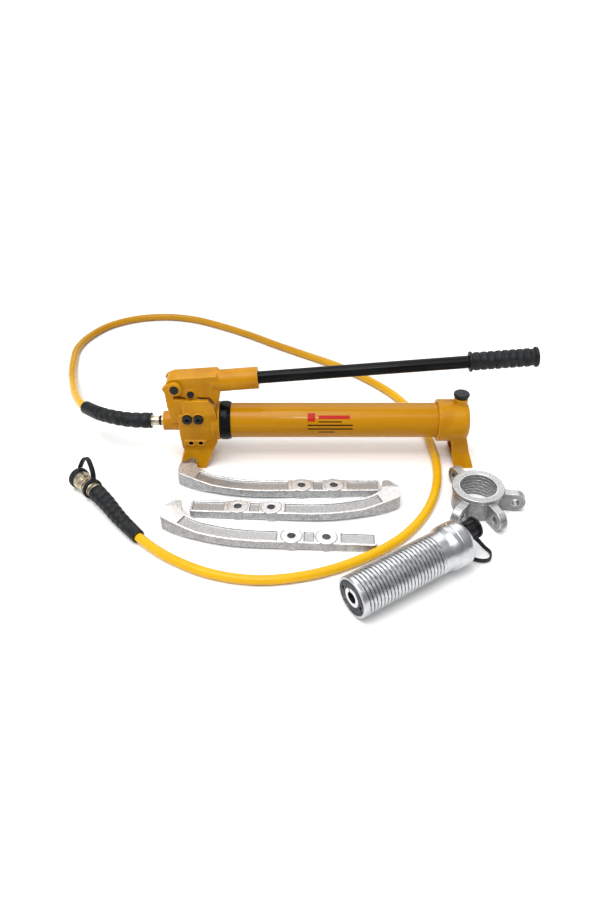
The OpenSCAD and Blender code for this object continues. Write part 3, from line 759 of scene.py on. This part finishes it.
def make_label():
    """A plain block and bars in place of the maker's sticker."""
    z_axis, r = middle("reservoir_tube").z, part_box("reservoir_tube")[1].y / MM
    patches = [(203, 216, 56, 28, 0), (222, 276, 48, 36, 0), (222, 262, 29, 25, 1), (203, 281, 18, 13, 1),
               (203, 281, 5, 0, 1), (222, 250, -8, -12, 1)]
    points, faces, index = [], [], []
    for x0, x1, top, bottom, paint in patches:
        steps = max(2, round(abs(top - bottom) / 3))
        start = len(points)
        for layer in (r - 0.2, r + 0.12):
            for x in (x0, x1):
                for k in range(steps + 1):
                    a = radians(top + (bottom - top) * k / steps)
                    points.append((x, -layer * cos(a), z_axis + layer * sin(a)))
        n = steps + 1
        made = []
        for k in range(steps):
            made.append((k, k + 1, n + k + 1, n + k))
            made.append((2 * n + k, 3 * n + k, 3 * n + k + 1, 2 * n + k + 1))
            made.append((k, 2 * n + k, 2 * n + k + 1, k + 1))
            made.append((n + k, n + k + 1, 3 * n + k + 1, 3 * n + k))
        made.append((0, n, 3 * n, 2 * n))
        made.append((n - 1, 3 * n - 1, 4 * n - 1, 2 * n - 1))
        faces += [tuple(start + v for v in f) for f in made]
        index += [paint] * len(made)
    obj = make_object("tube_label", points, faces)
    finish_piece(obj, "reservoir_tube", "label_red", "label_dark", replaces=False, angle=40)
    obj.data.polygons.foreach_set("material_index", index)


def make_caps():
    top = middle("filler_cap")
    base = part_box("filler_cap")[0].z / MM + 9
    knurl = lambda z, r, turn: 0.22 * cos(40 * turn) if r > 12.4 and 3.5 < z < 8.6 else 0
    turned("filler_cap", Matrix.Translation((top.x, 0, base)),
           [(-9, 0), (-9, 6.95), (0, 6.95), (0, 9.5), (3, 11.6), (4, 13.4), (8, 13.4), (9.1, 12.4), (9.4, 0)],
           radius=0.7, steps=240, shift=knurl, closed=False)
    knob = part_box("release_knob")
    knurled = lambda z, r, turn: 0.35 * cos(30 * turn) if r > 12.5 else 0
    turned("release_knob", along_y(middle("release_knob").x, knob[1].y / MM - 15, middle("release_knob").z),
           [(-18.2, 0), (-18.2, 5), (0, 5), (0, 12), (1.5, 13.6), (13, 13.6), (15, 12), (15, 8), (14, 7.4),
            (14, 0)],
           radius=0.8, steps=240, shift=knurled, closed=False)


def make_pins():
    for node in ("fulcrum_pin", "plunger_pin"):
        low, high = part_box(node)
        r = (high.z - low.z) / 2 / MM
        half = high.y / MM
        at = middle(node)
        turned(node, along_y(at.x, 0, at.z),
               [(-half, 0), (-half + 0.5, r - 3.2), (-half, r - 2.6), (-half, r), (half, r), (half, 0)],
               radius=0.9, closed=False)
    for node in ("fulcrum_pin_clip", "plunger_pin_clip", "valve_plugs", "pump_plunger", "plunger_gland"):
        softened(node, 0.35)


# ---------------------------------------------------------------- the lever
LEVER_RISE = 4.9
GRIP_LEN = 114


def make_lever():
    pin = middle("plunger_pin")
    extras = [solid_ring(along_y(pin.x, side * 17, pin.z), 6.1, 9.6, -1.0, 1.0) for side in (-1, 1)]
    finish_piece(cast("lever_beam", extras), "lever_beam", angle=None)
    centre = middle("lever_tube")
    axis = laid(centre, 0, LEVER_RISE)
    low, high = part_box("lever_tube")
    half = (high.x - low.x) / 2 / MM / cos(radians(LEVER_RISE)) - 0.9
    r = high.y / MM
    turned("lever_tube", axis, [(-half, r - 2.5), (-half, r), (half, r), (half, r - 2.5)], radius=0.5)
    grip = laid(middle("lever_grip"), 0, LEVER_RISE)
    e = GRIP_LEN / 2
    outline = [(-e, r + 0.05), (-e, 16.4), (-e + 1, 17), (-e + 4, 17), (-e + 5, 14)]
    for k in range(8):
        z = -e + 7.4 + 11.9 * k
        outline += [(z, 14), (z + 1.8, 15.4), (z + 8.4, 15.4), (z + 10.2, 14)]
    outline += [(e - 8, 14), (e - 6.6, 15.6), (e - 5.4, 17), (e - 2, 17), (e, 15), (e, 0), (e - 4, 0),
                (e - 4, r + 0.05)]
    turned("lever_grip", grip, outline, radius=1.2, steps=96)


# ---------------------------------------------------------------- outlet and coupler
COUPLER_TURN = 134
COUPLER_AT = (-149, -131, 18.5)
NECK = 24
SLEEVE = 24


def make_outlet():
    x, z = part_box("outlet_fitting")[0].x / MM, middle("outlet_fitting").z
    turned("outlet_fitting", along_x(x, 0, z),
           [(0, 3), (0, 8.3), (11.5, 8.3), (12.6, 7.2), (15.8, 7.2), (16.2, 8.4), (19.6, 8.4), (19.7, 6.9),
            (34, 6.9), (34, 3)],
           radius=0.5, steps=72)
    turned("outlet_seal", along_x(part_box("outlet_seal")[0].x / MM, 0, z),
           [(0, 7.5), (0, 8.9), (2.4, 8.9), (2.4, 7.5)], radius=0.9, steps=72)
    softened("pump_ferrule", 0.5)
    softened("coupler_ferrule", 0.5)


def make_coupler():
    at = laid(COUPLER_AT, COUPLER_TURN, 0)
    turned("coupler_body", at, [(0.2, 5), (0.2, 12.8), (6, 12.9), (7, 12.1), (9, 12.1), (10, 13), (23.8, 13),
                                (24.2, 10.5), (40, 10.5), (40, 5)], radius=0.7, steps=72)
    a = NECK + 0.5
    knurl = lambda z, r, turn: 0.25 * cos(36 * turn) if r > 15.2 and z > a + 12 else 0
    turned("coupler_sleeve", at, [(a, 10.55), (a, 13.8), (a + 6, 14), (a + 6.6, 12.9), (a + 9.2, 12.9),
                                  (a + 9.8, 15.2), (a + SLEEVE, 15.4), (a + SLEEVE, 13), (a + 10.4, 12.9),
                                  (a + 10.4, 10.55)], radius=0.5, steps=216, shift=knurl)
    c = NECK + SLEEVE + 0.9
    turned("coupler_cap", at, [(c - 7, 10.95), (c - 7, 12.9), (c, 12.9), (c, 16.8), (c + 2, 18), (c + 7, 18),
                               (c + 9.6, 17.6), (c + 10.4, 15), (c + 13, 14.6), (c + 13, 0), (c - 1, 0),
                               (c - 1, 10.95)], radius=0.8, steps=96)


def strap_section(width, thick):
    x, y = thick / 2, width / 2
    return rounded([(-x, -y), (x, -y), (x, y), (-x, y)], thick * 0.45, True, 3)


def make_coupler_strap():
    at = laid(COUPLER_AT, COUPLER_TURN, 0) @ Matrix.Rotation(radians(19), 4, "Z")
    ring_points, ring_faces = lathe(rounded([(10, 13.15), (16, 13.15), (16, 17.3), (10, 17.3)], 1.2), 72)
    ring = make_object("ring", ring_points, ring_faces, at)
    way = [(-16, 0, 13), (-21, 0, 14.5), (-29, 0, 19), (-37, 0, 27), (-43, 0, 36), (-43.5, 0, 43),
           (-39.5, 0, 48), (-32, 0, 52), (-25, 0, 54.5), (-19.6, 0, 56)]
    path = [at @ p for p in spline(way, 6)]
    side = (at.to_3x3() @ Vector((0, 1, 0))).normalized()
    points, faces = sweep(path, [strap_section(9, 2.4)] * len(path), reference=side)
    obj = make_object("coupler_strap_look", points, faces)
    join_into(obj, [ring])
    finish_piece(obj, "coupler_strap", angle=50, body="later")
    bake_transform(obj)


# ---------------------------------------------------------------- the ram
RAM_LEN = 208
RAM_R = 32
COLLAR_R = 36
COLLAR_LEN = 46
RAM_LEAN = degrees(asin((COLLAR_R - RAM_R) / (RAM_LEN - COLLAR_LEN + 12)))
ram_axis = laid((261.5, -381.7, RAM_R * cos(radians(RAM_LEAN)) + 0.02), 33.2, RAM_LEAN)
PORT = (-7, 6)
PITCH = 6.0
THREAD_DEPTH = 2.0


def thread_cut(z, turn, start, end, depth):
    """How deep a screw groove is at a height and turn; it fades out at both ends."""
    if not start < z < end:
        return 0
    fade = min(1, (z - start) / 3, (end - z) / 3)
    return -depth * fade * max(0.0, (cos(tau * (z / PITCH) - turn) - 0.45) / 0.55) ** 0.6


def paint_deep_shade(obj, axis, deep):
    """Gives the second material, painted shade, to faces where deep(radius, height) holds."""
    back = axis.inverted()
    for face in obj.data.polygons:
        at = back @ (face.center / MM)
        if deep(Vector((at.x, at.y)).length, at.z):
            face.material_index = 1


def make_ram_barrel():
    end = RAM_LEN
    collar = end - COLLAR_LEN
    thread_start, thread_end = 5.0, collar - 12
    shoulder = rounded([(thread_end + 1, RAM_R), (collar + 2, RAM_R), (collar + 12, COLLAR_R),
                        (end - 26, COLLAR_R), (end - 25.4, COLLAR_R - 0.5), (end - 24.8, COLLAR_R),
                        (end - 10, COLLAR_R), (end - 1.5, COLLAR_R - 7), (end, COLLAR_R - 10), (end, 0)],
                       2.5, False)
    inside = [(end - 30, 0), (end - 30, 26.1), (9.5, 26.1), (9.3, 28), (0.3, 28), (0, 28.4)]
    nose = [(0, 30.6), (0.5, 31.4), (1.6, 32)]
    rows = [(float(z), RAM_R) for z in np.arange(2.5, thread_end, 0.36)]
    outline = inside + nose + rows + shoulder

    def groove(z, r, turn):
        return thread_cut(z, turn, thread_start, thread_end, THREAD_DEPTH) if r > RAM_R - 0.1 else 0

    def in_groove(r, z):
        return 28.5 < r < RAM_R - 0.55 * THREAD_DEPTH and thread_start < z < thread_end

    points, faces = lathe(outline, 144, groove)
    obj = make_object("ram_barrel_look", points, faces, ram_axis)
    finish_piece(obj, "ram_barrel", "chromed_steel", "groove_shade", angle=40)
    # painted shade: the thread's grooves get the darker groove material
    paint_deep_shade(obj, ram_axis, in_groove)
    # the small round filler screw in the collar's side
    side = ram_axis @ Matrix.Rotation(radians(155), 4, "Z")
    outward = Matrix.Translation((COLLAR_R - 1, 0, end - 24)) @ Matrix.Rotation(pi / 2, 4, "Y")
    outline = rounded([(0, 0), (0, 3.2), (1.5, 3.2), (1.5, 1.6), (0.7, 1.2), (0.7, 0)], 0.4, False)
    points, faces = lathe(outline, 32)
    screw = make_object("ram_bleed_screw", points, faces, side @ outward)
    finish_piece(screw, "ram_barrel", "plated_fitting", replaces=False)


def make_ram_parts():
    softened("ram_retainer", 0.5)
    obj = copy_of("ram_plunger")
    slot = solid_box((-1.6, 8, -1), (1.6, 17, 3.2), ram_axis @ Matrix.Rotation(radians(60), 4, "Z"))
    carve(obj, [slot])
    bevel_edges(obj, 0.5)
    finish_piece(obj, "ram_plunger", "bright_steel", "black_oxide")
    # painted shade: the inside of the plunger's bore is painted black
    paint_deep_shade(obj, ram_axis, lambda r, z: r < 9.2 and z > 0.7)
    softened("ram_nipple", 0.8)
    at = ram_axis @ Matrix.Translation((*PORT, RAM_LEN + 8.6))

    def flutes(z, r, turn):
        if r < 13.5 or z > 16:
            return 0
        return 1.1 * max(-0.9, min(0.9, 1.6 * cos(10 * turn))) - 0.4

    outline = [(0, 8.4), (0, 14.6), (1, 15.0)] + [(float(z), 15.0) for z in np.arange(2, 15, 2)]
    outline += [(15, 14.6), (16.6, 14.2), (16.8, 17.2), (20.6, 17.4), (21, 16.6), (21, 0), (15, 0), (15, 8.4)]
    points, faces = lathe(rounded(outline, 0.5), 192, flutes)
    finish_piece(make_object("ram_cap_look", points, faces, at), "ram_cap", angle=35)


def make_ram_strap():
    down = ram_axis @ Vector((PORT[0] + 16, PORT[1] + 3, RAM_LEN + 8.6 + 19))
    way = [down, (465, -246, 16), (475, -253, 8), (482, -262, 6), (481, -273, 5.5), (473, -280, 5.5),
           (460, -279, 5.5), (449, -273, 6.5), (441, -267, 9)]
    path = spline([Vector(p) for p in way], 8)
    points, faces = sweep(path, [strap_section(7.5, 2.4)] * len(path))
    obj = make_object("ram_strap_look", points, faces)
    finish_piece(obj, "ram_strap", angle=50, body="later")
    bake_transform(obj)


# ---------------------------------------------------------------- crosshead and jaws
BORE_DEPTH = 2.2


def make_crosshead():
    at = Matrix.Translation((482, -143, 0))
    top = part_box("crosshead")[1].z / MM
    bore = solid_rod(at, 32.4, -2, top + 2)
    obj = cast("crosshead", cuts=[bore])
    rows = [(float(z), 32.3) for z in np.arange(1.0, top - 0.8, 0.45)]
    outline = rows + [(top - 0.6, 34), (0.8, 34)]

    def ridge(z, r, turn):
        return 0 if r > 33 else -BORE_DEPTH - thread_cut(z, turn, 0.5, top - 1.5, BORE_DEPTH)

    points, faces = lathe(outline, 128, ridge)
    join_into(obj, [make_object("thread", points, faces, at)])
    finish_piece(obj, "crosshead", "zinc_casting", "groove_shade", angle=60)
    # painted shade: the bore's thread grooves get the darker groove material
    paint_deep_shade(obj, at, lambda r, z: 31.0 < r < 32.35 and 0.5 < z < top - 1.2)


# first bolt hole, turn and flip of each jaw, and the material of its toe's rough end
JAWS = (((192.5, -110), 1.6, 1, "forging_scale"), ((143, -167.7), 176.5, -1, "zinc_skin"),
        ((176.5, -237), -2, 1, "pale_scale"))
JAW_BOSS_EDGE = 54.5 + 16.5
JAW_HOOK_X = -190
JAW_ARM_X = -150
JAW_LEAN = atan(4.5 / (JAW_BOSS_EDGE - JAW_HOOK_X))
JAW_MID_Z = 8.5 * cos(JAW_LEAN) + JAW_BOSS_EDGE * sin(JAW_LEAN)


def make_jaws():
    """Forged jaws; the toe's end and the pockets' floors have their own materials."""
    for number, (hole, turn, flip, toe) in enumerate(JAWS, 1):
        node = f"jaw_{number}"
        obj = cast(node, voxel=0.75, smooth=3)
        finish_piece(obj, node, "zinc_forging", toe, "zinc_skin", angle=None)
        back = (Matrix.Translation((*hole, JAW_MID_Z)) @ Matrix.Rotation(radians(turn), 4, "Z")
                @ Matrix.Rotation(JAW_LEAN, 4, "Y")).inverted()
        for face in obj.data.polygons:
            at = back @ (face.center / MM)
            facing = back.to_3x3() @ face.normal
            top = float(np.interp(at.x, (JAW_HOOK_X, JAW_ARM_X), (13, 7)))
            if at.x < -176 and flip * at.y > 55 and facing.x < 0.5:
                face.material_index = 1
            elif abs(at.z) < top - 1.4 and abs(facing.z) > 0.6:
                face.material_index = 2


# ---------------------------------------------------------------- build
bpy.context.scene.view_settings.view_transform = "Standard"
make_camera()
make_world()
make_floor()
make_light("front_sun", "SUN", 1.8, (radians(40),), (-0.6, -0.5, 3), (0.15, 0, 0))
make_light("back_sun", "SUN", 0.85, (radians(50),), (0.4, 2.4, 2.4), (0.15, 0, 0))
make_light("line_sun", "SUN", 0.4, (radians(4),), (0.1, -1.2, 1.45), (0.15, 0, 0.07))
make_light("top_strip", "AREA", 9, (2.6, 0.35), (0.2, -0.9, 1.7), (0.2, 0, 0))
make_light("left_box", "AREA", 4, (1.0, 1.6), (-1.8, -0.6, 1.1), (0, 0, 0.05))

for node, obj in nodes.items():
    for slot in obj.material_slots:
        slot.material = materials[slot_of[node]]

hose, hose_path, hose_length = make_hose()
make_boot("pump_boot", ROUTE[:PUMP_BOOT_POINTS + 1], 14.2, 12, 6, (0.02, 0.66))
make_boot("coupler_boot", ROUTE[-COUPLER_BOOT_POINTS:], 11, 15, 8, (0.2, 0.99))
make_pump_body()
make_stand()
make_tube()
make_label()
make_caps()
make_pins()
make_lever()
make_outlet()
make_coupler()
make_coupler_strap()
make_ram_barrel()
make_ram_parts()
make_ram_strap()
make_crosshead()
make_jaws()
